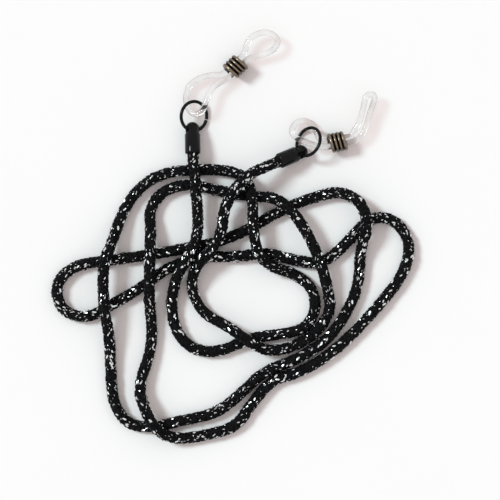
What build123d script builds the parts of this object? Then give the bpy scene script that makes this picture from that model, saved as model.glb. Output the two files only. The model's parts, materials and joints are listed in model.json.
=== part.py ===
from build123d import *
import math
import os

# Eyeglass retainer strap: a thin knitted cord with a crimped cap on each end. A split ring
# hangs in each cap, a closed silicone band is linked through the ring, and a close-wound
# coil on the band's two legs tightens the loop that grips the spectacle temple.
# Millimetres, +Z up, the strap lying on the plane Z = 0.

# ---- cord ----
CORD_D = 2.6                # outside of the knitted cover
BEND_SHARE = 0.45           # share of the shorter neighbouring run taken by each bend

# ---- end cap ----
CAP_D = 3.7                 # barrel
CAP_BARREL_LENGTH = 5.0
CAP_RIM_ROUND = 0.4         # rounded mouth edge
CAP_SHOULDER = 0.3          # length of the cone between barrel and head
CAP_HEAD_D = 3.24
CAP_DOME = 1.3              # height of the domed tip
CAP_LENGTH = 7.8
CAP_BORE_CLEARANCE = 0.1    # on the cord's diameter
CAP_BORE_DEPTH = 4.0
CAP_HOLE_D = 1.5            # cross hole for the ring
CAP_HOLE_HEIGHT = 5.85      # from the mouth

# ---- split ring ----
RING_WIRE_D = 0.8
RING_R = 3.5                # to the middle of the wire
RING_SEAT_DROP = 0.18       # wire's middle below the cross hole's, towards the mouth
RING_SPLIT = 0.25           # gap between the wire's two ends

# ---- silicone band ----
BAND_D = 1.4
BAND_LEG_GAP = 0.04         # between the two legs inside the coil
BAND_LEG_HALF = 3.72        # straight leg from the coil's middle to its end, either way

# ---- coil ----
COIL_WIRE_D = 0.93
COIL_PITCH = 0.97
COIL_TURNS = 4              # of the wire's middle line, which reads as five rows
COIL_BORE_CLEARANCE = 0.1   # on the width of the two legs
COIL_AXIS_HEIGHT = 2.4      # above the table

# ---- how the left end lies, angles in degrees ----
LEFT_MOUTH = (-20.47, -13.14, 3.16)
LEFT_HEADING = 91.2         # cap axis from +X
LEFT_PITCH = 10.0           # mouth up
LEFT_ROLL = 32.0            # cross hole about the cap axis
LEFT_RING_SWING = 15.0      # ring about the cross hole
LEFT_SPLIT_AT = 278.0       # round the ring from the cap
LEFT_COIL_CENTRE = (-10.30, 7.74)
LEFT_COIL_HEADING = 43.5
LEFT_CORD_LEAD = 1.56       # straight cord outside the mouth

# ---- how the right end lies ----
RIGHT_MOUTH = (-0.00, -14.94, 3.79)
RIGHT_HEADING = 23.4
RIGHT_PITCH = 18.0
RIGHT_ROLL = -42.0
RIGHT_RING_SWING = 42.0
RIGHT_SPLIT_AT = 120.0
RIGHT_COIL_CENTRE = (14.06, -10.26)
RIGHT_COIL_HEADING = 11.0
RIGHT_CORD_LEAD = 2.8

# ---- sizes that follow from the others ----
CAP_BORE_D = CORD_D + CAP_BORE_CLEARANCE
CAP_DOME_R = (CAP_DOME ** 2 + (CAP_HEAD_D / 2) ** 2) / (2 * CAP_DOME)
LEG_OFFSET = (BAND_D + BAND_LEG_GAP) / 2
COIL_BORE_D = 2 * BAND_D + BAND_LEG_GAP + COIL_BORE_CLEARANCE
COIL_R = (COIL_BORE_D + COIL_WIRE_D) / 2
COIL_RISE = COIL_TURNS * COIL_PITCH
SPLIT_ANGLE = math.degrees(RING_SPLIT / RING_R)

# The cord's route from the left cap to the right one, laid by hand. Every crossing is a
# hump with two points at its top.
CORD_ROUTE = [
    (-19.97, -17.94, 4.50), (-19.68, -22.38, 4.40), (-19.25, -27.66, 3.50), (-19.18, -32.94, 4.50),
    (-21.34, -37.38, 4.60), (-24.63, -42.78, 3.00), (-25.78, -48.78, 1.30), (-24.82, -55.26, 1.30),
    (-20.74, -59.94, 1.30), (-14.26, -60.66, 1.30), (-7.06, -57.18, 1.30), (-0.10, -56.27, 1.30),
    (5.90, -55.26, 1.30), (9.02, -50.94, 1.30), (8.42, -45.42, 1.30), (4.22, -41.82, 1.30),
    (-1.06, -40.38, 2.20), (-4.90, -37.50, 4.40), (-5.79, -33.18, 4.50), (-6.22, -27.66, 4.40),
    (-6.22, -22.86, 4.50), (-7.90, -18.42, 2.90), (-13.06, -16.86, 1.30), (-19.78, -16.86, 1.30),
    (-27.22, -17.34, 1.30), (-33.46, -21.06, 1.30), (-37.54, -27.30, 1.30), (-39.82, -34.38, 2.80),
    (-41.47, -38.46, 4.50), (-41.86, -43.98, 4.40), (-41.50, -50.22, 4.50), (-40.37, -56.94, 2.30),
    (-40.18, -64.62, 1.30), (-39.70, -72.54, 1.30), (-36.10, -78.06, 1.30), (-29.38, -78.54, 1.30),
    (-22.18, -76.62, 1.30), (-15.46, -75.42, 1.30), (-9.70, -71.22, 1.30), (-3.70, -65.10, 1.30),
    (4.46, -62.34, 1.30), (11.66, -57.78, 1.30), (16.70, -50.70, 1.30), (19.46, -43.26, 1.30),
    (19.46, -36.30, 1.70), (21.26, -30.54, 4.50), (20.06, -24.90, 4.20), (14.78, -21.78, 1.80),
    (7.34, -23.70, 1.30), (0.38, -26.58, 1.30), (-7.06, -31.14, 1.30), (-14.74, -34.38, 1.30),
    (-23.38, -35.82, 1.30), (-32.26, -37.50, 1.30), (-41.14, -38.58, 1.30), (-48.82, -39.66, 1.30),
    (-53.50, -43.98, 1.30), (-52.30, -50.34, 1.30), (-46.42, -52.74, 1.30), (-39.46, -48.90, 1.30),
    (-32.50, -44.94, 1.30), (-26.50, -40.14, 1.30), (-18.10, -37.57, 1.30), (-9.94, -37.74, 1.30),
    (-2.74, -36.66, 1.30), (3.98, -38.58, 1.30), (10.46, -39.54, 1.30), (15.98, -34.86, 1.30),
    (21.74, -28.14, 1.30), (27.74, -28.50, 1.30), (31.82, -34.38, 1.30), (30.14, -41.58, 1.30),
    (25.10, -48.06, 1.30), (19.58, -54.30, 1.30), (13.10, -60.54, 1.30), (5.42, -65.34, 1.30),
    (-1.54, -67.02, 1.30), (-6.22, -72.54, 1.30), (-10.18, -78.54, 1.30), (-17.14, -80.34, 1.30),
    (-24.58, -81.42, 1.80), (-29.14, -79.02, 4.50), (-31.54, -74.94, 4.50), (-33.70, -69.18, 2.00),
    (-30.58, -60.30, 1.30), (-30.22, -54.54, 1.40), (-30.82, -49.02, 2.60), (-30.82, -43.74, 4.50),
    (-30.58, -37.02, 4.50), (-30.58, -31.50, 2.40), (-30.94, -25.98, 1.30), (-27.34, -21.54, 1.30),
    (-20.74, -20.10, 1.30), (-12.82, -22.38, 1.30), (-5.38, -23.27, 1.40), (-0.70, -23.58, 3.80),
    (3.26, -26.70, 4.60), (7.10, -32.46, 3.80), (9.98, -38.94, 4.50), (11.54, -44.46, 2.60),
    (12.74, -50.70, 1.30), (8.61, -56.46, 1.30), (2.54, -59.70, 1.30), (-2.50, -60.18, 1.90),
    (-5.86, -58.74, 4.50), (-9.46, -55.98, 4.50), (-13.30, -53.70, 2.60), (-18.10, -51.18, 1.30),
    (-20.98, -45.90, 1.30), (-20.26, -40.74, 3.50), (-16.54, -36.66, 4.70), (-13.54, -32.46, 4.50),
    (-13.18, -26.94, 3.90), (-10.90, -21.90, 5.70), (-7.06, -18.06, 6.80),
]

# The bands beyond their straight legs: round the ring end, then round the temple end.
LEFT_RING_END = [
    (-15.58, 5.82, 2.20), (-18.58, 5.22, 2.00), (-21.22, 3.54, 1.70), (-22.25, 0.90, 1.40),
    (-21.94, -1.98, 1.70), (-20.26, -3.90, 2.40), (-18.10, -3.18, 3.10), (-17.26, -0.42, 3.30),
    (-16.30, 2.10, 3.00), (-14.50, 3.66, 2.70),
]
LEFT_TEMPLE_END = [
    (-5.02, 10.26, 2.40), (-2.62, 10.91, 2.50), (-0.58, 12.18, 2.70), (-0.03, 14.22, 2.90),
    (-1.78, 15.71, 3.00), (-4.30, 15.90, 3.00), (-6.63, 14.70, 2.80), (-7.78, 12.71, 2.60),
]
RIGHT_RING_END = [
    (9.26, -8.46, 1.50), (8.66, -6.13, 0.80), (6.26, -4.93, 1.00), (3.98, -5.65, 1.80),
    (2.90, -7.93, 2.70), (4.58, -9.66, 3.25), (7.70, -10.81, 2.90),
]
RIGHT_TEMPLE_END = [
    (19.70, -9.06, 2.50), (20.90, -6.66, 2.70), (21.62, -3.78, 2.90), (22.46, -1.50, 3.10),
    (23.18, 1.09, 3.30), (20.71, 0.98, 3.30), (20.42, -1.50, 3.10), (19.75, -3.90, 2.90),
    (19.15, -6.06, 2.70), (18.02, -7.50, 2.50),
]

os.makedirs("parts", exist_ok=True)


def bend_radii(points):
    """Radius of the bend at each corner, from its shorter run and its turn."""
    radii = []
    for before, corner, after in zip(points, points[1:], points[2:]):
        run_in = corner - before
        run_out = after - corner
        half_turn = math.radians(run_in.get_angle(run_out)) / 2
        shorter_run = min(run_in.length, run_out.length)
        radii.append(BEND_SHARE * shorter_run / math.tan(half_turn))
    return radii


def seat_plane(mouth, heading, pitch, roll):
    """Plane at a cap's mouth: z towards its tip, x along its cross hole."""
    turn = math.radians(heading)
    dip = math.radians(pitch)
    axis = Vector(math.cos(turn) * math.cos(dip), math.sin(turn) * math.cos(dip), -math.sin(dip))
    level = Vector(-math.sin(turn), math.cos(turn), 0)
    across = level.rotate(Axis((0, 0, 0), axis), roll)
    return Plane(origin=mouth, x_dir=across, z_dir=axis)


def ring_plane(seat, swing):
    """Plane in the middle of a hanging ring: x away from the cap, y along the cross hole."""
    outward = seat.z_dir.rotate(Axis((0, 0, 0), seat.x_dir), -swing)
    hole = seat.origin + seat.z_dir * CAP_HOLE_HEIGHT
    middle = hole + outward * (RING_R - RING_SEAT_DROP)
    return Plane(origin=middle, x_dir=outward, z_dir=outward.cross(seat.x_dir))


def coil_plane(centre, heading):
    """Plane in the middle of a coil: x level, z along its axis towards the temple end."""
    turn = math.radians(heading)
    along = Vector(math.cos(turn), math.sin(turn), 0)
    level = Vector(-math.sin(turn), math.cos(turn), 0)
    return Plane(origin=(*centre, COIL_AXIS_HEIGHT), x_dir=level, z_dir=along)


def make_cap(seat):
    """Crimped end cap: turned outside, blind bore for the cord, cross hole for the ring."""
    half_section = Plane(origin=seat.origin, x_dir=seat.x_dir, z_dir=-seat.y_dir)
    hole = seat.origin + seat.z_dir * CAP_HOLE_HEIGHT
    dome_base = CAP_LENGTH - CAP_DOME
    with BuildPart() as cap:
        with BuildSketch(half_section):
            with BuildLine():
                Polyline((CAP_D / 2 - CAP_RIM_ROUND, 0), (0, 0), (0, CAP_LENGTH))
                RadiusArc((0, CAP_LENGTH), (CAP_HEAD_D / 2, dome_base), CAP_DOME_R)
                Polyline(
                    (CAP_HEAD_D / 2, dome_base),
                    (CAP_HEAD_D / 2, CAP_BARREL_LENGTH),
                    (CAP_D / 2, CAP_BARREL_LENGTH - CAP_SHOULDER),
                    (CAP_D / 2, CAP_RIM_ROUND),
                )
                RadiusArc(
                    (CAP_D / 2, CAP_RIM_ROUND),
                    (CAP_D / 2 - CAP_RIM_ROUND, 0),
                    CAP_RIM_ROUND,
                )
            make_face()
        revolve(axis=Axis(seat.origin, -seat.z_dir))
        with BuildSketch(seat):
            Circle(CAP_BORE_D / 2)
        extrude(amount=CAP_BORE_DEPTH, mode=Mode.SUBTRACT)
        with BuildSketch(Plane(origin=hole, x_dir=seat.y_dir, z_dir=seat.x_dir)):
            Circle(CAP_HOLE_D / 2)
        extrude(amount=CAP_D, both=True, mode=Mode.SUBTRACT)
    return cap.part


def make_ring(middle, split_at):
    """Round wire ring, split where its two ends nearly meet."""
    start = split_at + 180 + SPLIT_ANGLE / 2
    radial = middle.x_dir.rotate(Axis((0, 0, 0), middle.z_dir), -start)
    wire_end = Plane(
        origin=middle.origin + radial * RING_R,
        x_dir=radial,
        z_dir=middle.z_dir.cross(radial),
    )
    with BuildPart() as ring:
        with BuildSketch(wire_end):
            Circle(RING_WIRE_D / 2)
        revolve(axis=Axis(middle.origin, -middle.z_dir), revolution_arc=360 - SPLIT_ANGLE)
    return ring.part


def make_coil(middle):
    """Close-wound coil of round wire round the band's two legs, its ends underneath."""
    start = middle.origin - middle.z_dir * (COIL_RISE / 2)
    with BuildPart() as coil:
        with BuildLine(Plane(origin=start, x_dir=middle.x_dir, z_dir=middle.z_dir)):
            wire = Helix(COIL_PITCH, COIL_RISE, COIL_R, direction=middle.z_dir)
        with BuildSketch(Plane(origin=wire @ 0, z_dir=wire % 0)):
            Circle(COIL_WIRE_D / 2)
        sweep(path=wire, is_frenet=True)
    wire_end = wire @ 0 - start
    underneath = wire_end.get_signed_angle(Vector(0, 0, -1), middle.z_dir)
    return coil.part.rotate(Axis(middle.origin, middle.z_dir), underneath)


def band_route(middle, way, bends):
    """Route of one end of a band, from the middle of one leg round to the other's."""
    offset = middle.x_dir * LEG_OFFSET * -way
    reach = middle.z_dir * BAND_LEG_HALF * way
    route = [middle.origin + offset, middle.origin + reach + offset]
    route += [Vector(*p) for p in bends]
    route += [middle.origin + reach - offset, middle.origin - offset]
    return route


def make_band(routes):
    """Closed band of round silicone cord, its two ends meeting in the middle of each leg."""
    with BuildPart() as band:
        for route in routes:
            with BuildLine():
                path = FilletPolyline(*route, radius=bend_radii(route))
            with BuildSketch(Plane(origin=path @ 0, z_dir=path % 0)):
                Circle(BAND_D / 2)
            sweep(path=path)
    return band.part


def cord_route(left_seat, right_seat):
    """The cord from the bottom of the left cap's bore to the bottom of the right one's."""
    route = [
        left_seat.origin + left_seat.z_dir * CAP_BORE_DEPTH,
        left_seat.origin - left_seat.z_dir * LEFT_CORD_LEAD,
    ]
    route += [Vector(*p) for p in CORD_ROUTE]
    route += [
        right_seat.origin - right_seat.z_dir * RIGHT_CORD_LEAD,
        right_seat.origin + right_seat.z_dir * CAP_BORE_DEPTH,
    ]
    return route


def make_cord(route):
    """One round tube along the whole route."""
    with BuildPart() as cord:
        with BuildLine():
            path = FilletPolyline(*route, radius=bend_radii(route))
        with BuildSketch(Plane(origin=path @ 0, z_dir=path % 0)):
            Circle(CORD_D / 2)
        sweep(path=path)
    return cord.part


def tube_length(route):
    """Length of a tube's middle line: its runs less what each bend cuts off."""
    length = sum((b - a).length for a, b in zip(route, route[1:]))
    turns = [
        math.radians((b - a).get_angle(c - b))
        for a, b, c in zip(route, route[1:], route[2:])
    ]
    for radius, turn in zip(bend_radii(route), turns):
        length -= radius * (2 * math.tan(turn / 2) - turn)
    return length


def report_tube(name, part, routes, diameter):
    """Print a tube's length, its bends, and its volume against section times length."""
    length = sum(tube_length(route) for route in routes)
    radii = [round(r, 2) for route in routes for r in bend_radii(route)]
    section = math.pi * diameter ** 2 / 4
    print(name, "length", round(length, 2), "tightest bends", sorted(radii)[:4])
    print(name, "all bend radii", radii)
    print(name, "volume", round(part.volume, 2), "section x length", round(section * length, 2))


# ---- caps ----
left_seat = seat_plane(LEFT_MOUTH, LEFT_HEADING, LEFT_PITCH, LEFT_ROLL)
right_seat = seat_plane(RIGHT_MOUTH, RIGHT_HEADING, RIGHT_PITCH, RIGHT_ROLL)
cap_left = make_cap(left_seat)
cap_right = make_cap(right_seat)

# ---- rings ----
left_ring_plane = ring_plane(left_seat, LEFT_RING_SWING)
right_ring_plane = ring_plane(right_seat, RIGHT_RING_SWING)
ring_left = make_ring(left_ring_plane, LEFT_SPLIT_AT)
ring_right = make_ring(right_ring_plane, RIGHT_SPLIT_AT)

# ---- coils and bands ----
left_coil_plane = coil_plane(LEFT_COIL_CENTRE, LEFT_COIL_HEADING)
right_coil_plane = coil_plane(RIGHT_COIL_CENTRE, RIGHT_COIL_HEADING)
coil_left = make_coil(left_coil_plane)
coil_right = make_coil(right_coil_plane)
left_band_routes = [
    band_route(left_coil_plane, -1, LEFT_RING_END),
    band_route(left_coil_plane, 1, LEFT_TEMPLE_END),
]
right_band_routes = [
    band_route(right_coil_plane, -1, RIGHT_RING_END),
    band_route(right_coil_plane, 1, RIGHT_TEMPLE_END),
]
band_left = make_band(left_band_routes)
band_right = make_band(right_band_routes)

# ---- cord ----
whole_cord = cord_route(left_seat, right_seat)
cord = make_cord(whole_cord)

report_tube("cord", cord, [whole_cord], CORD_D)
report_tube("band_left", band_left, left_band_routes, BAND_D)
report_tube("band_right", band_right, right_band_routes, BAND_D)

pieces = {
    "cord": cord,
    "cap_left": cap_left,
    "cap_right": cap_right,
    "ring_left": ring_left,
    "ring_right": ring_right,
    "band_left": band_left,
    "band_right": band_right,
    "coil_left": coil_left,
    "coil_right": coil_right,
}
for name, piece in pieces.items():
    piece.label = name
    export_step(piece, "parts/" + name + ".step")
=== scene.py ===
import json
import math

import bmesh
import bpy
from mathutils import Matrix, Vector
from mathutils.bvhtree import BVHTree

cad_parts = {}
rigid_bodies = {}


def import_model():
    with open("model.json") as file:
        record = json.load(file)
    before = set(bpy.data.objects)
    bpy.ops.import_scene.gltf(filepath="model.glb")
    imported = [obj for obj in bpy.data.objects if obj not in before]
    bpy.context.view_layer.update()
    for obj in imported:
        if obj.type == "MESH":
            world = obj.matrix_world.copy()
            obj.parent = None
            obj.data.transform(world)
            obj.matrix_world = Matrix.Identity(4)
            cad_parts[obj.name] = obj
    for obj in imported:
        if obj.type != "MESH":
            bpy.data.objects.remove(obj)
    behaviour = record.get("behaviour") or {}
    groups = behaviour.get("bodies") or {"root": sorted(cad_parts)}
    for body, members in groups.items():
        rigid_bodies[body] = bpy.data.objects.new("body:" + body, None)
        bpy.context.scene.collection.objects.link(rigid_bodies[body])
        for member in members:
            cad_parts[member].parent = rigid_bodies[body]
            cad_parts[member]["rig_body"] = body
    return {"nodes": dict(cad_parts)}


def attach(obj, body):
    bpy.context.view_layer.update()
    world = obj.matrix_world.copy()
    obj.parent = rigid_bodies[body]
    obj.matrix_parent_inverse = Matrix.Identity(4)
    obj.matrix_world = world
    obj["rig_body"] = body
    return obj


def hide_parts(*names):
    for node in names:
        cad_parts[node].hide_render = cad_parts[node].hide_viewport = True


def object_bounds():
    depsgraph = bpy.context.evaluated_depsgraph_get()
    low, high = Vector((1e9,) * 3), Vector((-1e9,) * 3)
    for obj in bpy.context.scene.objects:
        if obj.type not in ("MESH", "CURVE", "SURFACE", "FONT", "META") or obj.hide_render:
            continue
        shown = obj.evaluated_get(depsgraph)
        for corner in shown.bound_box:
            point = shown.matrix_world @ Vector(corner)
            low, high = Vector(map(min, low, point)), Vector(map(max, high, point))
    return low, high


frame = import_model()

# Eyeglass retainer strap: a thin knitted cord with silver glitter, lying in a loose tangle.
# Each end has a gloss black cap, a black split ring, a clear silicone band and a bronze coil.
# Metres, +Z up, the strap lying on Z = 0.

bl_info = {
    "name": "Eyeglass retainer strap",
    "version": (1, 0, 0),
    "blender": (4, 5, 0),
    "location": "View3D > Sidebar > Strap",
    "description": "Builds the finish of a knitted eyeglass retainer strap round its frame",
    "category": "Object",
}

CAD_LOW, CAD_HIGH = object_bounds()
MM = 0.001
WHITE = (1.0, 1.0, 1.0, 1.0)

# ---- where the cord leaves each cap ----
BORE_DEPTH = 0.004
LEFT_MOUTH = Vector((-0.02047, -0.01314, 0.00316))
LEFT_AXIS = Vector((-0.0206, 0.9846, -0.1736))     # from the mouth to the cap's tip
LEFT_LEAD = 0.00156                                # straight cord outside the mouth
RIGHT_MOUTH = Vector((0.0, -0.01494, 0.00379))
RIGHT_AXIS = Vector((0.8728, 0.3777, -0.3090))
RIGHT_LEAD = 0.0028

# The cord's route from the left cap to the right one: the same points as in part.py.
CORD_ROUTE = [
    (-0.01997, -0.01794, 0.00450), (-0.01968, -0.02238, 0.00440), (-0.01925, -0.02766, 0.00350),
    (-0.01918, -0.03294, 0.00450), (-0.02134, -0.03738, 0.00460), (-0.02463, -0.04278, 0.00300),
    (-0.02578, -0.04878, 0.00130), (-0.02482, -0.05526, 0.00130), (-0.02074, -0.05994, 0.00130),
    (-0.01426, -0.06066, 0.00130), (-0.00706, -0.05718, 0.00130), (-0.00010, -0.05627, 0.00130),
    (0.00590, -0.05526, 0.00130), (0.00902, -0.05094, 0.00130), (0.00842, -0.04542, 0.00130),
    (0.00422, -0.04182, 0.00130), (-0.00106, -0.04038, 0.00220), (-0.00490, -0.03750, 0.00440),
    (-0.00579, -0.03318, 0.00450), (-0.00622, -0.02766, 0.00440), (-0.00622, -0.02286, 0.00450),
    (-0.00790, -0.01842, 0.00290), (-0.01306, -0.01686, 0.00130), (-0.01978, -0.01686, 0.00130),
    (-0.02722, -0.01734, 0.00130), (-0.03346, -0.02106, 0.00130), (-0.03754, -0.02730, 0.00130),
    (-0.03982, -0.03438, 0.00280), (-0.04147, -0.03846, 0.00450), (-0.04186, -0.04398, 0.00440),
    (-0.04150, -0.05022, 0.00450), (-0.04037, -0.05694, 0.00230), (-0.04018, -0.06462, 0.00130),
    (-0.03970, -0.07254, 0.00130), (-0.03610, -0.07806, 0.00130), (-0.02938, -0.07854, 0.00130),
    (-0.02218, -0.07662, 0.00130), (-0.01546, -0.07542, 0.00130), (-0.00970, -0.07122, 0.00130),
    (-0.00370, -0.06510, 0.00130), (0.00446, -0.06234, 0.00130), (0.01166, -0.05778, 0.00130),
    (0.01670, -0.05070, 0.00130), (0.01946, -0.04326, 0.00130), (0.01946, -0.03630, 0.00170),
    (0.02126, -0.03054, 0.00450), (0.02006, -0.02490, 0.00420), (0.01478, -0.02178, 0.00180),
    (0.00734, -0.02370, 0.00130), (0.00038, -0.02658, 0.00130), (-0.00706, -0.03114, 0.00130),
    (-0.01474, -0.03438, 0.00130), (-0.02338, -0.03582, 0.00130), (-0.03226, -0.03750, 0.00130),
    (-0.04114, -0.03858, 0.00130), (-0.04882, -0.03966, 0.00130), (-0.05350, -0.04398, 0.00130),
    (-0.05230, -0.05034, 0.00130), (-0.04642, -0.05274, 0.00130), (-0.03946, -0.04890, 0.00130),
    (-0.03250, -0.04494, 0.00130), (-0.02650, -0.04014, 0.00130), (-0.01810, -0.03757, 0.00130),
    (-0.00994, -0.03774, 0.00130), (-0.00274, -0.03666, 0.00130), (0.00398, -0.03858, 0.00130),
    (0.01046, -0.03954, 0.00130), (0.01598, -0.03486, 0.00130), (0.02174, -0.02814, 0.00130),
    (0.02774, -0.02850, 0.00130), (0.03182, -0.03438, 0.00130), (0.03014, -0.04158, 0.00130),
    (0.02510, -0.04806, 0.00130), (0.01958, -0.05430, 0.00130), (0.01310, -0.06054, 0.00130),
    (0.00542, -0.06534, 0.00130), (-0.00154, -0.06702, 0.00130), (-0.00622, -0.07254, 0.00130),
    (-0.01018, -0.07854, 0.00130), (-0.01714, -0.08034, 0.00130), (-0.02458, -0.08142, 0.00180),
    (-0.02914, -0.07902, 0.00450), (-0.03154, -0.07494, 0.00450), (-0.03370, -0.06918, 0.00200),
    (-0.03058, -0.06030, 0.00130), (-0.03022, -0.05454, 0.00140), (-0.03082, -0.04902, 0.00260),
    (-0.03082, -0.04374, 0.00450), (-0.03058, -0.03702, 0.00450), (-0.03058, -0.03150, 0.00240),
    (-0.03094, -0.02598, 0.00130), (-0.02734, -0.02154, 0.00130), (-0.02074, -0.02010, 0.00130),
    (-0.01282, -0.02238, 0.00130), (-0.00538, -0.02327, 0.00140), (-0.00070, -0.02358, 0.00380),
    (0.00326, -0.02670, 0.00460), (0.00710, -0.03246, 0.00380), (0.00998, -0.03894, 0.00450),
    (0.01154, -0.04446, 0.00260), (0.01274, -0.05070, 0.00130), (0.00861, -0.05646, 0.00130),
    (0.00254, -0.05970, 0.00130), (-0.00250, -0.06018, 0.00190), (-0.00586, -0.05874, 0.00450),
    (-0.00946, -0.05598, 0.00450), (-0.01330, -0.05370, 0.00260), (-0.01810, -0.05118, 0.00130),
    (-0.02098, -0.04590, 0.00130), (-0.02026, -0.04074, 0.00350), (-0.01654, -0.03666, 0.00470),
    (-0.01354, -0.03246, 0.00450), (-0.01318, -0.02694, 0.00390), (-0.01090, -0.02190, 0.00570),
    (-0.00706, -0.01806, 0.00680),
]

# ---- the stitches, each a little different from its neighbours ----
LOWEST_MIDDLE = 0.37 * MM                   # of a stitch or a foil, above the table
STITCH_SHIFT = (-0.06 * MM, 0.06 * MM)      # along the cord
STITCH_LIFT = (-0.08 * MM, 0.11 * MM)       # outwards
STITCH_TWIST = (-0.15, 0.15)                # radians, added to the lean
STITCH_DIP = (-0.16, -0.04)                 # radians, one end lower than the other
STITCH_SIZE = (0.84, 1.14)

# ---- the foil pieces, of which most are small and few are large ----
FOIL_SUNK = (-0.19 * MM, 0.06 * MM)         # below the cord's outside; less than 0 stands proud
FOIL_ROLL = (-0.65, 0.65)                   # radians
FOIL_PITCH = (-0.3, 0.3)                    # radians
FOIL_SMALLEST = 0.45                        # as a share of the foil's named size
FOIL_SPREAD = 1.1                           # from the smallest share to the largest
FOIL_RARITY = 3.0                           # power that makes the large sizes rare

# ---- clear silicone ----
SILICONE_IOR = 1.41
SILICONE_SHADOW = (0.87, 0.81, 0.80, 1.0)   # light that a band lets through
PAINTED_RIM_FALLOFF = 0.9                          # how fast the painted dark rim, a painted reflection, fades inwards
PAINTED_RIM_FALLOFF_SPREAD = 2.2                   # added to that in the clearer patches

# ---- fittings ----
WELD = 0.0005 * MM                          # corners nearer than this are one
CREASE = math.radians(38.0)                 # sharper edges stay crisp


# ---------------------------------------------------------------- node shorthand
def add(tree, kind, inputs=None, **settings):
    """Add a node, set its own settings, then link or fill its inputs by name or index."""
    node = tree.nodes.new(kind)
    for name, value in settings.items():
        setattr(node, name, value)
    for key, value in (inputs or {}).items():
        if isinstance(value, bpy.types.NodeSocket):
            tree.links.new(value, node.inputs[key])
        else:
            node.inputs[key].default_value = value
    return node


def maths(tree, operation, first, second=0.0):
    """One Math node's result."""
    return add(tree, "ShaderNodeMath", {0: first, 1: second}, operation=operation).outputs[0]


def vectors(tree, operation, first, second):
    """One Vector Math node's vector."""
    node = add(tree, "ShaderNodeVectorMath", {0: first, 1: second}, operation=operation)
    return node.outputs["Vector"]


def scaled(tree, vector, factor):
    """A vector times a number."""
    inputs = {0: vector, "Scale": factor}
    return add(tree, "ShaderNodeVectorMath", inputs, operation="SCALE").outputs["Vector"]


def blended(tree, factor, first, second):
    """A colour between two colours."""
    node = add(tree, "ShaderNodeMix", {"Factor": factor}, data_type="RGBA")
    for index, value in ((6, first), (7, second)):
        if isinstance(value, bpy.types.NodeSocket):
            tree.links.new(value, node.inputs[index])
        else:
            node.inputs[index].default_value = value
    return node.outputs[2]


def between(tree, factor, low, high):
    """A number between two numbers."""
    spread = maths(tree, "MULTIPLY", factor, high - low)
    return maths(tree, "ADD", spread, low)


def random_value(tree, low, high, seed, channel):
    """A seeded random number for each point; channel keeps the draws apart."""
    number = add(
        tree,
        "FunctionNodeRandomValue",
        {2: low, 3: high, "Seed": maths(tree, "ADD", seed, channel)},
        data_type="FLOAT",
    )
    return number.outputs[1]


# ---------------------------------------------------------------- shader groups
def grain_group():
    """Fine surface grain in object space: a broad mask, and a finer height."""
    height_to_mask = 6.0        # how much finer the height is
    tree = bpy.data.node_groups.new("fine_grain", "ShaderNodeTree")
    for name, default in (("Scale", 1000.0), ("Contrast", 1.0)):
        socket = tree.interface.new_socket(name=name, in_out="INPUT", socket_type="NodeSocketFloat")
        socket.default_value = default
    for name in ("Mask", "Height"):
        tree.interface.new_socket(name=name, in_out="OUTPUT", socket_type="NodeSocketFloat")
    source = add(tree, "NodeGroupInput")
    place = add(tree, "ShaderNodeTexCoord").outputs["Object"]
    broad = add(
        tree,
        "ShaderNodeTexNoise",
        {"Vector": place, "Scale": source.outputs["Scale"], "Detail": 4.0, "Roughness": 0.6},
    )
    fine_scale = maths(tree, "MULTIPLY", source.outputs["Scale"], height_to_mask)
    fine = add(tree, "ShaderNodeTexNoise", {"Vector": place, "Scale": fine_scale, "Detail": 2.0})
    centred = maths(tree, "SUBTRACT", broad.outputs["Fac"], 0.5)
    stretched = maths(tree, "MULTIPLY", centred, source.outputs["Contrast"])
    mask = add(tree, "ShaderNodeClamp", {"Value": maths(tree, "ADD", stretched, 0.5)})
    target = add(tree, "NodeGroupOutput")
    tree.links.new(mask.outputs["Result"], target.inputs["Mask"])
    tree.links.new(fine.outputs["Fac"], target.inputs["Height"])
    return tree


def grain(tree, scale, contrast):
    """A place of the fine grain group, with its own values."""
    group = bpy.data.node_groups.get("fine_grain") or grain_group()
    node = add(tree, "ShaderNodeGroup", node_tree=group)
    node.inputs["Scale"].default_value = scale
    node.inputs["Contrast"].default_value = contrast
    return node


# ---------------------------------------------------------------- materials
def new_material(name):
    """An empty node material and its Principled shader."""
    material = bpy.data.materials.new(name)
    material.use_nodes = True
    tree = material.node_tree
    tree.nodes.clear()
    shader = add(tree, "ShaderNodeBsdfPrincipled")
    output = add(tree, "ShaderNodeOutputMaterial")
    tree.links.new(shader.outputs["BSDF"], output.inputs["Surface"])
    return material, tree, shader


def finish_surface(tree, shader, grain_node, colours, roughness, bump, depth):
    """Colour and roughness between two values each, and a bump, that follow one grain."""
    mask = grain_node.outputs["Mask"]
    tree.links.new(blended(tree, mask, *colours), shader.inputs["Base Color"])
    tree.links.new(between(tree, mask, *roughness), shader.inputs["Roughness"])
    relief = add(
        tree,
        "ShaderNodeBump",
        {"Height": grain_node.outputs["Height"], "Strength": bump, "Distance": depth},
    )
    tree.links.new(relief.outputs["Normal"], shader.inputs["Normal"])


def recolour(tree, shader, factor, first=None, second=None):
    """Blend a new colour into a shader's base colour; None stands for the one it has."""
    base = shader.inputs["Base Color"].links[0].from_socket
    low = base if first is None else first
    high = base if second is None else second
    tree.links.new(blended(tree, factor, low, high), shader.inputs["Base Color"])


def tinted(colour, red, green, blue):
    """A colour with its three parts scaled."""
    return tuple(c * k for c, k in zip(colour[:3], (red, green, blue))) + (1.0,)


def shades(colour, low, high):
    """A darker and a lighter shade of one colour."""
    return [tinted(colour, k, k, k) for k in (low, high)]


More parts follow.
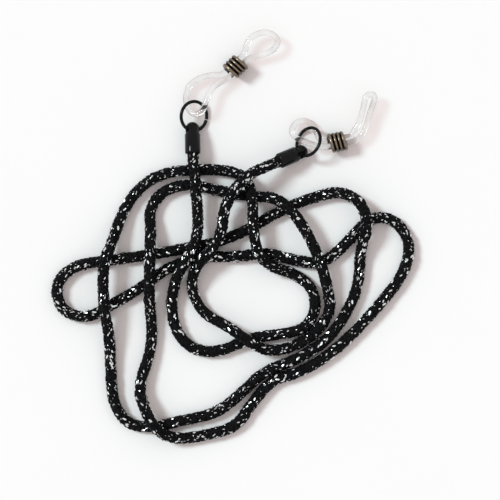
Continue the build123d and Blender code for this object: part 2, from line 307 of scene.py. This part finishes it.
def yarn_material(settings):
    """Black synthetic yarn: each stitch a little lighter or darker, with fine fibres."""
    material, tree, shader = new_material("black_yarn")
    finish_surface(
        tree,
        shader,
        grain(tree, scale=2600.0, contrast=1.6),
        colours=shades(settings.yarn_colour, 0.6, 1.5),
        roughness=(0.42, 0.72),
        bump=0.5,
        depth=0.05 * MM,
    )
    tone = add(tree, "ShaderNodeAttribute", attribute_name="tone").outputs["Fac"]
    stitch = blended(tree, tone, *shades(settings.yarn_colour, 0.5, 1.9))
    recolour(tree, shader, 0.5, second=stitch)
    shader.inputs["Specular IOR Level"].default_value = 0.05
    return material


def foil_material(settings):
    """Silver foil filament: bright metal, each piece with a faint warm or cool cast."""
    material, tree, shader = new_material("silver_foil")
    tone = add(tree, "ShaderNodeAttribute", attribute_name="tone").outputs["Fac"]
    warm = tinted(settings.foil_colour, 1.0, 0.96, 0.94)
    cool = tinted(settings.foil_colour, 0.95, 0.98, 1.0)
    tree.links.new(blended(tree, tone, warm, cool), shader.inputs["Base Color"])
    mask = grain(tree, scale=5200.0, contrast=1.2).outputs["Mask"]
    tree.links.new(between(tree, mask, 0.16, 0.32), shader.inputs["Roughness"])
    shader.inputs["Metallic"].default_value = 1.0
    return material


def painted_material(name, colour, roughness):
    """Black paint over metal, with a faint orange peel."""
    material, tree, shader = new_material(name)
    finish_surface(
        tree,
        shader,
        grain(tree, scale=900.0, contrast=1.4),
        colours=shades(colour, 0.7, 1.4),
        roughness=roughness,
        bump=0.12,
        depth=0.02 * MM,
    )
    shader.inputs["Specular IOR Level"].default_value = 0.13
    return material


def bronze_material(settings):
    """Dark bronze wire: the crests keep the rubbed bronze, and the grooves and the coil's inside go
    near black, partly tarnish and partly painted shade.
    """
    material, tree, shader = new_material("dark_bronze")
    finish_surface(
        tree,
        shader,
        grain(tree, scale=1400.0, contrast=1.8),
        colours=shades(settings.coil_colour, 0.75, 1.2),
        roughness=(0.24, 0.33),
        bump=0.10,
        depth=0.02 * MM,
    )
    # painted shade with tarnish: the colour darkens with depth below the coil's outline
    worn_and_shaded = add(tree, "ShaderNodeAttribute", attribute_name="worn_and_shaded").outputs["Fac"]
    recolour(tree, shader, worn_and_shaded, first=settings.tarnish_and_shade_colour)
    shader.inputs["Metallic"].default_value = 1.0
    return material


def silicone_material(settings):
    """Clear silicone, greyer in patches, with a painted dark rim, through which the lamp still reaches
    the table.
    """
    material, tree, shader = new_material("clear_silicone")
    patches = grain(tree, scale=240.0, contrast=3.0)
    finish_surface(
        tree,
        shader,
        patches,
        colours=shades(settings.silicone_colour, 0.86, 1.0),
        roughness=(0.03, 0.10),
        bump=0.05,
        depth=0.02 * MM,
    )
    # painted reflection: the colour darkens towards the rim where the band turns away, for dark
    # surroundings seen through it
    painted_rim = add(tree, "ShaderNodeLayerWeight", {"Blend": 0.5}).outputs["Facing"]
    falloff = maths(tree, "MULTIPLY", patches.outputs["Mask"], PAINTED_RIM_FALLOFF_SPREAD)
    painted_rim = maths(tree, "POWER", painted_rim, maths(tree, "ADD", falloff, PAINTED_RIM_FALLOFF))
    recolour(tree, shader, painted_rim, second=settings.silicone_painted_rim)
    shader.inputs["Transmission Weight"].default_value = 1.0
    shader.inputs["IOR"].default_value = SILICONE_IOR
    path = add(tree, "ShaderNodeLightPath").outputs
    clear = add(tree, "ShaderNodeBsdfTransparent", {"Color": SILICONE_SHADOW})
    lighting = maths(tree, "MAXIMUM", path["Is Shadow Ray"], path["Is Diffuse Ray"])
    both = add(tree, "ShaderNodeMixShader", {0: lighting})
    tree.links.new(shader.outputs["BSDF"], both.inputs[1])
    tree.links.new(clear.outputs["BSDF"], both.inputs[2])
    output = next(n for n in tree.nodes if n.type == "OUTPUT_MATERIAL")
    tree.links.new(both.outputs["Shader"], output.inputs["Surface"])
    return material


def floor_material(settings):
    """Plain pale table, very slightly uneven in tone."""
    material, tree, shader = new_material("pale_table")
    finish_surface(
        tree,
        shader,
        grain(tree, scale=40.0, contrast=1.0),
        colours=shades(settings.floor_colour, 0.985, 1.0),
        roughness=(0.85, 0.95),
        bump=0.0,
        depth=0.01 * MM,
    )
    shader.inputs["Specular IOR Level"].default_value = 0.1
    return material


# ---------------------------------------------------------------- the cord's route
def route_points():
    """Every point of the route, with the straight stretch inside each cap."""
    start = [LEFT_MOUTH + LEFT_AXIS * BORE_DEPTH, LEFT_MOUTH - LEFT_AXIS * LEFT_LEAD]
    end = [RIGHT_MOUTH - RIGHT_AXIS * RIGHT_LEAD, RIGHT_MOUTH + RIGHT_AXIS * BORE_DEPTH]
    return start + [Vector(p) for p in CORD_ROUTE] + end


def route_curve(name):
    """The route as one smooth open spline."""
    curve = bpy.data.curves.new(name, "CURVE")
    curve.dimensions = "3D"
    curve.resolution_u = 10
    spline = curve.splines.new("NURBS")
    points = route_points()
    spline.points.add(len(points) - 1)
    for point, place in zip(spline.points, points):
        point.co = (*place, 1.0)
    spline.order_u = 3
    spline.use_endpoint_u = True
    obj = bpy.data.objects.new(name, curve)
    bpy.context.scene.collection.objects.link(obj)
    return obj


def plain_mesh(obj):
    """The evaluated object as a plain mesh."""
    bpy.context.view_layer.update()
    depsgraph = bpy.context.evaluated_depsgraph_get()
    return bpy.data.meshes.new_from_object(obj.evaluated_get(depsgraph), depsgraph=depsgraph)


# ---------------------------------------------------------------- geometry along the cord
def named_inputs(tree, inputs):
    """The tree's geometry socket, then its named inputs, then its geometry output."""
    tree.interface.new_socket(name="Geometry", in_out="INPUT", socket_type="NodeSocketGeometry")
    for name, kind, default in inputs:
        socket = tree.interface.new_socket(name=name, in_out="INPUT", socket_type=kind)
        if default is not None:
            socket.default_value = default
    tree.interface.new_socket(name="Geometry", in_out="OUTPUT", socket_type="NodeSocketGeometry")
    return add(tree, "NodeGroupInput"), add(tree, "NodeGroupOutput")


def round_the_cord(tree, path, along, angle, radius):
    """A place on the cord's surface, and the rotation that stands on it, x along the cord."""
    sample = add(
        tree,
        "GeometryNodeSampleCurve",
        {"Curves": path, "Length": along},
        mode="LENGTH",
        use_all_curves=True,
    )
    normal = sample.outputs["Normal"]
    tangent = sample.outputs["Tangent"]
    side = vectors(tree, "CROSS_PRODUCT", tangent, normal)
    outward = vectors(
        tree,
        "ADD",
        scaled(tree, normal, maths(tree, "COSINE", angle)),
        scaled(tree, side, maths(tree, "SINE", angle)),
    )
    free = vectors(tree, "ADD", sample.outputs["Position"], scaled(tree, outward, radius))
    floor = (-1.0, -1.0, LOWEST_MIDDLE)     # far off in x and y, so it holds up z alone
    place = vectors(tree, "MAXIMUM", free, floor)
    stand = add(
        tree,
        "FunctionNodeAxesToRotation",
        {"Primary Axis": outward, "Secondary Axis": tangent},
        primary_axis="Z",
        secondary_axis="X",
    )
    return place, stand.outputs["Rotation"]


def turned(tree, rotation, x, y, z):
    """A rotation turned further about its own axes."""
    angles = add(tree, "ShaderNodeCombineXYZ", {"X": x, "Y": y, "Z": z})
    local = add(tree, "FunctionNodeEulerToRotation", {"Euler": angles.outputs["Vector"]})
    node = add(
        tree,
        "FunctionNodeRotateRotation",
        {"Rotation": rotation, "Rotate By": local.outputs["Rotation"]},
        rotation_space="LOCAL",
    )
    return node.outputs["Rotation"]


def scatter(tree, target, count, place, rotation, shape, size, seed, material, smooth):
    """Put one shape at every place, give each its tone, and make them plain geometry."""
    points = add(tree, "GeometryNodePoints", {"Count": count}).outputs["Points"]
    placed = add(tree, "GeometryNodeSetPosition", {"Geometry": points, "Position": place})
    copies = add(
        tree,
        "GeometryNodeInstanceOnPoints",
        {"Points": placed.outputs["Geometry"], "Instance": shape, "Rotation": rotation, "Scale": size},
    )
    tone = random_value(tree, 0.0, 1.0, seed, 9)
    toned = add(
        tree,
        "GeometryNodeStoreNamedAttribute",
        {"Geometry": copies.outputs["Instances"], "Name": "tone", "Value": tone},
        data_type="FLOAT",
        domain="INSTANCE",
    )
    solid = add(tree, "GeometryNodeRealizeInstances", {"Geometry": toned.outputs[0]})
    shaded = add(
        tree,
        "GeometryNodeSetShadeSmooth",
        {"Geometry": solid.outputs[0], "Shade Smooth": smooth},
    )
    painted = add(
        tree,
        "GeometryNodeSetMaterial",
        {"Geometry": shaded.outputs[0], "Material": material},
    )
    tree.links.new(painted.outputs[0], target.inputs["Geometry"])


def ellipsoid(tree, segments, rings, half_sizes):
    """A rounded shape of few faces, its poles along X, with the given half sizes."""
    ball = add(
        tree,
        "GeometryNodeMeshUVSphere",
        {"Segments": segments, "Rings": rings, "Radius": 1.0},
    )
    size = add(tree, "ShaderNodeCombineXYZ", dict(zip(("X", "Y", "Z"), half_sizes)))
    turned_over = add(
        tree,
        "GeometryNodeTransform",
        {"Geometry": ball.outputs["Mesh"], "Rotation": (0, math.pi / 2, 0)},
    )
    shaped = add(
        tree,
        "GeometryNodeTransform",
        {"Geometry": turned_over.outputs["Geometry"], "Scale": size.outputs["Vector"]},
    )
    return shaped.outputs["Geometry"]


def knit_tree():
    """Stitch legs in courses and wales round the cord. Two legs make each V-shaped stitch."""
    tree = bpy.data.node_groups.new("knit_cover", "GeometryNodeTree")
    source, target = named_inputs(
        tree,
        (
            ("Cord Radius", "NodeSocketFloat", 0.0013),
            ("Wales", "NodeSocketInt", 6),
            ("Course Pitch", "NodeSocketFloat", 0.00105),
            ("Leg Length", "NodeSocketFloat", 0.0008),
            ("Leg Width", "NodeSocketFloat", 0.0004),
            ("Leg Thickness", "NodeSocketFloat", 0.0002),
            ("Lean", "NodeSocketFloat", 0.42),
            ("Side", "NodeSocketFloat", 1.0),
            ("Seed", "NodeSocketInt", 3),
            ("Material", "NodeSocketMaterial", None),
        ),
    )
    get = source.outputs
    path = add(tree, "GeometryNodeMeshToCurve", {"Mesh": get["Geometry"]}).outputs["Curve"]
    length = add(tree, "GeometryNodeCurveLength", {"Curve": path}).outputs["Length"]
    courses = maths(tree, "FLOOR", maths(tree, "DIVIDE", length, get["Course Pitch"]))
    count = maths(tree, "MULTIPLY", courses, get["Wales"])
    index = add(tree, "GeometryNodeInputIndex").outputs["Index"]
    course = maths(tree, "FLOOR", maths(tree, "DIVIDE", index, get["Wales"]))
    wale = maths(tree, "MODULO", index, get["Wales"])
    turn = maths(tree, "DIVIDE", wale, get["Wales"])
    along = maths(tree, "MULTIPLY", maths(tree, "ADD", course, turn), get["Course Pitch"])
    along = maths(tree, "ADD", along, random_value(tree, *STITCH_SHIFT, get["Seed"], 1))
    quarter = maths(tree, "DIVIDE", maths(tree, "MULTIPLY", get["Side"], 0.25), get["Wales"])
    angle = maths(tree, "MULTIPLY", maths(tree, "ADD", turn, quarter), 2 * math.pi)
    inset = maths(tree, "SUBTRACT", get["Cord Radius"], get["Leg Thickness"])
    radius = maths(tree, "ADD", inset, random_value(tree, *STITCH_LIFT, get["Seed"], 2))
    place, rotation = round_the_cord(tree, path, along, angle, radius)
    lean = maths(tree, "MULTIPLY", get["Side"], get["Lean"])
    lean = maths(tree, "ADD", lean, random_value(tree, *STITCH_TWIST, get["Seed"], 3))
    dip = random_value(tree, *STITCH_DIP, get["Seed"], 4)
    rotation = turned(tree, rotation, 0.0, dip, lean)
    leg = ellipsoid(tree, 6, 4, (get["Leg Length"], get["Leg Width"], get["Leg Thickness"]))
    size = random_value(tree, *STITCH_SIZE, get["Seed"], 5)
    scatter(tree, target, count, place, rotation, leg, size, get["Seed"], get["Material"], True)
    return tree


def foil_tree():
    """Short lengths of silver foil lying on the knit, each at its own tilt."""
    tree = bpy.data.node_groups.new("foil_glitter", "GeometryNodeTree")
    source, target = named_inputs(
        tree,
        (
            ("Cord Radius", "NodeSocketFloat", 0.0013),
            ("Foils Per Metre", "NodeSocketFloat", 7600.0),
            ("Foil Length", "NodeSocketFloat", 0.0004),
            ("Foil Width", "NodeSocketFloat", 0.00017),
            ("Foil Thickness", "NodeSocketFloat", 0.000035),
            ("Lean", "NodeSocketFloat", 0.42),
            ("Seed", "NodeSocketInt", 11),
            ("Material", "NodeSocketMaterial", None),
        ),
    )
    get = source.outputs
    path = add(tree, "GeometryNodeMeshToCurve", {"Mesh": get["Geometry"]}).outputs["Curve"]
    length = add(tree, "GeometryNodeCurveLength", {"Curve": path}).outputs["Length"]
    count = maths(tree, "MULTIPLY", length, get["Foils Per Metre"])
    along = maths(tree, "MULTIPLY", random_value(tree, 0.0, 1.0, get["Seed"], 1), length)
    angle = random_value(tree, 0.0, 2 * math.pi, get["Seed"], 2)
    sunk = random_value(tree, *FOIL_SUNK, get["Seed"], 3)
    radius = maths(tree, "SUBTRACT", get["Cord Radius"], sunk)
    place, rotation = round_the_cord(tree, path, along, angle, radius)
    side = maths(tree, "SIGN", random_value(tree, -1.0, 1.0, get["Seed"], 4))
    lean = maths(tree, "MULTIPLY", side, get["Lean"])
    roll = random_value(tree, *FOIL_ROLL, get["Seed"], 5)
    pitch = random_value(tree, *FOIL_PITCH, get["Seed"], 6)
    rotation = turned(tree, rotation, roll, pitch, lean)
    draw = random_value(tree, 0.0, 1.0, get["Seed"], 7)
    larger = maths(tree, "MULTIPLY", maths(tree, "POWER", draw, FOIL_RARITY), FOIL_SPREAD)
    size = maths(tree, "ADD", larger, FOIL_SMALLEST)
    foil = ellipsoid(tree, 4, 3, (get["Foil Length"], get["Foil Width"], get["Foil Thickness"]))
    scatter(tree, target, count, place, rotation, foil, size, get["Seed"], get["Material"], False)
    return tree


def grown_piece(name, tree, values):
    """A plain mesh grown along the cord's route by a node tree with the given inputs."""
    line = route_curve(name + "_line")
    holder = bpy.data.objects.new(name, plain_mesh(line))
    bpy.data.objects.remove(line)
    bpy.context.scene.collection.objects.link(holder)
    modifier = holder.modifiers.new(name, "NODES")
    modifier.node_group = tree
    for item in tree.interface.items_tree:
        if item.in_out == "INPUT" and item.name in values:
            modifier[item.identifier] = values[item.name]
    mesh = plain_mesh(holder)
    holder.modifiers.clear()
    holder.data = mesh
    mesh.name = name
    return holder


# ---------------------------------------------------------------- pieces from the frame
def smooth_copy(node, name, material):
    """A welded, smooth-shaded stand-in for a CAD node, exactly where that node is."""
    mesh = frame["nodes"][node].data.copy()
    mesh.name = name
    shape = bmesh.new()
    shape.from_mesh(mesh)
    bmesh.ops.remove_doubles(shape, verts=shape.verts, dist=WELD)
    shape.to_mesh(mesh)
    shape.free()
    mesh.shade_smooth()
    mesh.set_sharp_from_angle(angle=CREASE)
    mesh.materials.clear()
    mesh.materials.append(material)
    piece = bpy.data.objects.new(name, mesh)
    bpy.context.scene.collection.objects.link(piece)
    body = frame["nodes"][node]["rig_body"]
    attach(piece, body)
    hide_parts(node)
    return piece


def mark_crests(piece, depth):
    """Store how worn and unshaded each point is: 1 on the outermost faces, 0 from this depth inwards,
    where painted shade and tarnish darken the coil.
    """
    hull = bmesh.new()
    for vertex in piece.data.vertices:
        hull.verts.new(vertex.co)
    made = bmesh.ops.convex_hull(hull, input=hull.verts)
    bmesh.ops.delete(hull, geom=made["geom_interior"], context="VERTS")
    outside = BVHTree.FromBMesh(hull)
    hull.free()
    worn_and_shaded = piece.data.attributes.new("worn_and_shaded", "FLOAT", "POINT")
    for vertex, place in zip(piece.data.vertices, worn_and_shaded.data):
        below = outside.find_nearest(vertex.co)[3]
        place.value = max(0.0, 1.0 - below / depth)


# ---------------------------------------------------------------- settings
class StrapCordSettings(bpy.types.PropertyGroup):
    """Sizes and colours of the knitted cord."""

    diameter: bpy.props.FloatProperty(
        name="Cord diameter", description="Outside of the knitted cover", default=0.0026,
        min=0.001, max=0.006, precision=5, unit="LENGTH",
    )
    length: bpy.props.FloatProperty(
        name="Cord length", description="From the bottom of one cap's bore to the other's",
        default=0.773, min=0.5, max=1.0, precision=4, unit="LENGTH",
    )
    wales: bpy.props.IntProperty(
        name="Wales", description="Columns of stitches round the cord", default=6, min=3, max=12,
    )
    course_pitch: bpy.props.FloatProperty(
        name="Course pitch", description="From one row of stitches to the next", default=0.00105,
        min=0.0006, max=0.003, precision=5, unit="LENGTH",
    )
    foils_per_metre: bpy.props.FloatProperty(
        name="Foils per metre", description="Pieces of silver foil along the cord",
        default=7600.0, min=0.0, max=24000.0,
    )
    yarn_colour: bpy.props.FloatVectorProperty(
        name="Yarn colour", description="Colour of the knitting yarn", subtype="COLOR",
        size=4, default=(0.0045, 0.0045, 0.005, 1.0), min=0.0, max=1.0,
    )
    foil_colour: bpy.props.FloatVectorProperty(
        name="Foil colour", description="Colour of the glitter filament", subtype="COLOR",
        size=4, default=(0.68, 0.68, 0.68, 1.0), min=0.0, max=1.0,
    )


class StrapFittingSettings(bpy.types.PropertyGroup):
    """Colours of the end fittings."""

    cap_colour: bpy.props.FloatVectorProperty(
        name="Cap colour", description="Paint on the end caps", subtype="COLOR", size=4,
        default=(0.003, 0.003, 0.0035, 1.0), min=0.0, max=1.0,
    )
    ring_colour: bpy.props.FloatVectorProperty(
        name="Ring colour", description="Paint on the split rings", subtype="COLOR", size=4,
        default=(0.003, 0.003, 0.0035, 1.0), min=0.0, max=1.0,
    )
    coil_colour: bpy.props.FloatVectorProperty(
        name="Coil colour", description="Bronze of the coils", subtype="COLOR", size=4,
        default=(0.225, 0.175, 0.13, 1.0), min=0.0, max=1.0,
    )
    # near black of the coils' grooves and insides: partly tarnish, partly painted shade
    tarnish_and_shade_colour: bpy.props.FloatVectorProperty(
        name="Tarnish colour", description="Grooves of the coils", subtype="COLOR", size=4,
        default=(0.006, 0.0045, 0.0035, 1.0), min=0.0, max=1.0,
    )
    silicone_colour: bpy.props.FloatVectorProperty(
        name="Silicone colour", description="Tint of the clear bands", subtype="COLOR", size=4,
        default=(0.98, 0.985, 0.98, 1.0), min=0.0, max=1.0,
    )
    # painted reflection: colour of the dark rim where the bands turn away
    silicone_painted_rim: bpy.props.FloatVectorProperty(
        name="Silicone edge", description="Tint of the bands where they turn away", subtype="COLOR",
        size=4, default=(0.15, 0.16, 0.15, 1.0), min=0.0, max=1.0,
    )


class StrapStageSettings(bpy.types.PropertyGroup):
    """Camera, lamp and table."""

    view_width: bpy.props.FloatProperty(
        name="View width", description="Width of table that the camera sees", default=0.120,
        min=0.05, max=0.5, precision=4, unit="LENGTH",
    )
    lens: bpy.props.FloatProperty(
        name="Lens", description="Focal length in millimetres", default=150.0, min=35.0, max=300.0,
    )
    key_strength: bpy.props.FloatProperty(
        name="Key lamp", description="Strength of the lamp", default=1.84, min=0.0, max=10.0,
    )
    key_angle: bpy.props.FloatProperty(
        name="Key lamp size", description="Angle that the lamp spans", subtype="ANGLE",
        default=math.radians(15.0), min=0.0, max=math.radians(90.0),
    )
    floor_colour: bpy.props.FloatVectorProperty(
        name="Table colour", description="Colour of the table", subtype="COLOR", size=4,
        default=(0.985, 0.985, 0.985, 1.0), min=0.0, max=1.0,
    )


# ---------------------------------------------------------------- operators
class STRAP_OT_camera(bpy.types.Operator):
    """Place the camera straight above the strap."""

    bl_idname = "strap.camera"
    bl_label = "Place camera"

    FRAMING = Vector((0.00407, -0.00311))   # strap sits a little up and to the left

    def execute(self, context):
        settings = context.scene.strap_stage
        middle = (CAD_LOW + CAD_HIGH) / 2
        lens = bpy.data.cameras.new("camera")
        lens.lens = settings.lens
        lens.clip_start = 0.01
        lens.clip_end = 20.0
        camera = bpy.data.objects.new("camera", lens)
        context.scene.collection.objects.link(camera)
        away = settings.view_width * lens.lens / lens.sensor_width
        camera.location = (middle.x + self.FRAMING.x, middle.y + self.FRAMING.y, away)
        context.scene.camera = camera
        return {"FINISHED"}


class STRAP_OT_cord(bpy.types.Operator):
    """Lay the knitted cord: its core, its stitches and its glitter."""

    bl_idname = "strap.cord"
    bl_label = "Lay cord"

    CORE_SHARE = 0.80       # core's radius as a share of the cord's
    KNIT_LEAN = 0.42        # radians
    LEG_LENGTH = 0.78       # half length, in course pitches
    LEG_FILL = 0.62         # half width, as a share of half a wale
    LEG_THICKNESS = 0.20 * MM                   # half of it
    FOIL_SIZE = (0.40 * MM, 0.17 * MM, 0.035 * MM)      # half length, half width, half thickness
    LEGS = (("knit_right_legs", 1.0, 3), ("knit_left_legs", -1.0, 5))   # piece, side, seed
    FOIL_SEED = 11

    def core(self, settings, yarn):
        """The plain round inside of the cord."""
        core = route_curve("cord_core")
        core.data.bevel_depth = settings.diameter / 2 * self.CORE_SHARE
        core.data.bevel_resolution = 3
        core.data.use_fill_caps = True
        core.data.materials.append(yarn)
        return core

    def knit(self, settings, yarn):
        """The two halves of every stitch, as one piece each."""
        tree = knit_tree()
        radius = settings.diameter / 2
        half_wale = math.pi * radius / settings.wales
        values = {
            "Cord Radius": radius,
            "Wales": settings.wales,
            "Course Pitch": settings.course_pitch,
            "Leg Length": settings.course_pitch * self.LEG_LENGTH,
            "Leg Width": half_wale * self.LEG_FILL,
            "Leg Thickness": self.LEG_THICKNESS,
            "Lean": self.KNIT_LEAN,
            "Material": yarn,
        }
        return [
            grown_piece(name, tree, {**values, "Side": side, "Seed": seed})
            for name, side, seed in self.LEGS
        ]

    def glitter(self, settings):
        """The silver foil pieces in the knit."""
        length, width, thickness = self.FOIL_SIZE
        values = {
            "Cord Radius": settings.diameter / 2,
            "Foils Per Metre": settings.foils_per_metre,
            "Foil Length": length,
            "Foil Width": width,
            "Foil Thickness": thickness,
            "Lean": self.KNIT_LEAN,
            "Seed": self.FOIL_SEED,
            "Material": foil_material(settings),
        }
        return grown_piece("silver_glitter", foil_tree(), values)

    def execute(self, context):
        settings = context.scene.strap_cord
        yarn = yarn_material(settings)
        core = self.core(settings, yarn)
        knit = self.knit(settings, yarn)
        glitter = self.glitter(settings)
        for piece in (core, *knit, glitter):
            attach(piece, "strap")
        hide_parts("cord")
        return {"FINISHED"}


class STRAP_OT_caps(bpy.types.Operator):
    """Finish the two end caps in gloss black."""

    bl_idname = "strap.caps"
    bl_label = "Finish caps"

    def execute(self, context):
        colour = context.scene.strap_fittings.cap_colour
        paint = painted_material("gloss_black", colour, roughness=(0.05, 0.10))
        for side in ("left", "right"):
            smooth_copy("cap_" + side, "end_cap_" + side, paint)
        return {"FINISHED"}


class STRAP_OT_rings(bpy.types.Operator):
    """Finish the two split rings in satin black."""

    bl_idname = "strap.rings"
    bl_label = "Finish rings"

    def execute(self, context):
        colour = context.scene.strap_fittings.ring_colour
        paint = painted_material("satin_black", colour, roughness=(0.14, 0.24))
        for side in ("left", "right"):
            smooth_copy("ring_" + side, "split_ring_" + side, paint)
        return {"FINISHED"}


class STRAP_OT_bands(bpy.types.Operator):
    """Finish the two silicone bands."""

    bl_idname = "strap.bands"
    bl_label = "Finish bands"

    def execute(self, context):
        silicone = silicone_material(context.scene.strap_fittings)
        for side in ("left", "right"):
            smooth_copy("band_" + side, "silicone_band_" + side, silicone)
        return {"FINISHED"}


class STRAP_OT_coils(bpy.types.Operator):
    """Finish the two wire coils in dark bronze."""

    bl_idname = "strap.coils"
    bl_label = "Finish coils"

    TARNISH_AND_SHADE_DEPTH = 0.07 * MM       # below the crests, where the tarnish and painted shade are full

    def execute(self, context):
        bronze = bronze_material(context.scene.strap_fittings)
        for side in ("left", "right"):
            coil = smooth_copy("coil_" + side, "wire_coil_" + side, bronze)
            # paints shade and tarnish into the grooves and the inside of the coil
            mark_crests(coil, self.TARNISH_AND_SHADE_DEPTH)
        return {"FINISHED"}


class STRAP_OT_stage(bpy.types.Operator):
    """Build the table, the lamp and the studio round the strap."""

    bl_idname = "strap.stage"
    bl_label = "Build stage"

    TABLE_HALF = 0.9
    KEY_FROM = Vector((-0.9, 0.43, 0.95))      # towards the lamp
    KEY_COLOUR = (0.885, 1.035, 1.055)
    FILL = (0.645, 0.585, 0.576, 1.0)          # light from the room as a whole

    def table(self, context):
        """A plain flat table top."""
        shape = bmesh.new()
        bmesh.ops.create_grid(shape, x_segments=4, y_segments=4, size=self.TABLE_HALF)
        mesh = bpy.data.meshes.new("table")
        shape.to_mesh(mesh)
        shape.free()
        mesh.materials.append(floor_material(context.scene.strap_stage))
        table = bpy.data.objects.new("table", mesh)
        context.scene.collection.objects.link(table)

    def key_lamp(self, context):
        """One broad soft lamp from the upper left."""
        settings = context.scene.strap_stage
        lamp = bpy.data.lights.new("key_lamp", "SUN")
        lamp.energy = settings.key_strength
        lamp.angle = settings.key_angle
        lamp.color = self.KEY_COLOUR
        key = bpy.data.objects.new("key_lamp", lamp)
        key.rotation_euler = self.KEY_FROM.to_track_quat("Z", "Y").to_euler()
        context.scene.collection.objects.link(key)

    def studio(self, context):
        """Even soft surroundings, which the camera and polished pieces see as white."""
        world = bpy.data.worlds.new("studio")
        world.use_nodes = True
        tree = world.node_tree
        tree.nodes.clear()
        path = add(tree, "ShaderNodeLightPath").outputs
        mirrored = maths(tree, "MAXIMUM", path["Is Glossy Ray"], path["Is Transmission Ray"])
        direct = maths(tree, "LESS_THAN", path["Diffuse Depth"], 0.5)    # no matt bounce yet
        mirrored = maths(tree, "MULTIPLY", mirrored, direct)
        seen = maths(tree, "MAXIMUM", path["Is Camera Ray"], mirrored)
        colour = blended(tree, seen, self.FILL, WHITE)
        background = add(tree, "ShaderNodeBackground", {"Color": colour, "Strength": 1.0})
        output = add(tree, "ShaderNodeOutputWorld")
        tree.links.new(background.outputs["Background"], output.inputs["Surface"])
        context.scene.world = world

    def execute(self, context):
        self.table(context)
        self.key_lamp(context)
        self.studio(context)
        context.scene.view_settings.view_transform = "Standard"
        return {"FINISHED"}


class VIEW3D_PT_strap(bpy.types.Panel):
    """Every step of the strap, in the order it is built."""

    bl_label = "Retainer strap"
    bl_space_type = "VIEW_3D"
    bl_region_type = "UI"
    bl_category = "Strap"

    def draw(self, context):
        for group in SETTINGS:
            settings = getattr(context.scene, group)
            for name in settings.__annotations__:
                self.layout.prop(settings, name)
        for operator in OPERATORS:
            self.layout.operator(operator.bl_idname)


OPERATORS = (
    STRAP_OT_camera,
    STRAP_OT_cord,
    STRAP_OT_caps,
    STRAP_OT_rings,
    STRAP_OT_bands,
    STRAP_OT_coils,
    STRAP_OT_stage,
)
SETTINGS = {
    "strap_cord": StrapCordSettings,
    "strap_fittings": StrapFittingSettings,
    "strap_stage": StrapStageSettings,
}


def register():
    """Register the settings, the operators and the panel."""
    for cls in (*SETTINGS.values(), *OPERATORS, VIEW3D_PT_strap):
        bpy.utils.register_class(cls)
    for name, cls in SETTINGS.items():
        setattr(bpy.types.Scene, name, bpy.props.PointerProperty(type=cls))


def unregister():
    """Undo register."""
    for name in SETTINGS:
        delattr(bpy.types.Scene, name)
    for cls in reversed((*SETTINGS.values(), *OPERATORS, VIEW3D_PT_strap)):
        bpy.utils.unregister_class(cls)


def main():
    """Build the whole strap."""
    register()
    for operator in OPERATORS:
        area, name = operator.bl_idname.split(".")
        getattr(getattr(bpy.ops, area), name)()


if __name__ == "__main__":
    main()
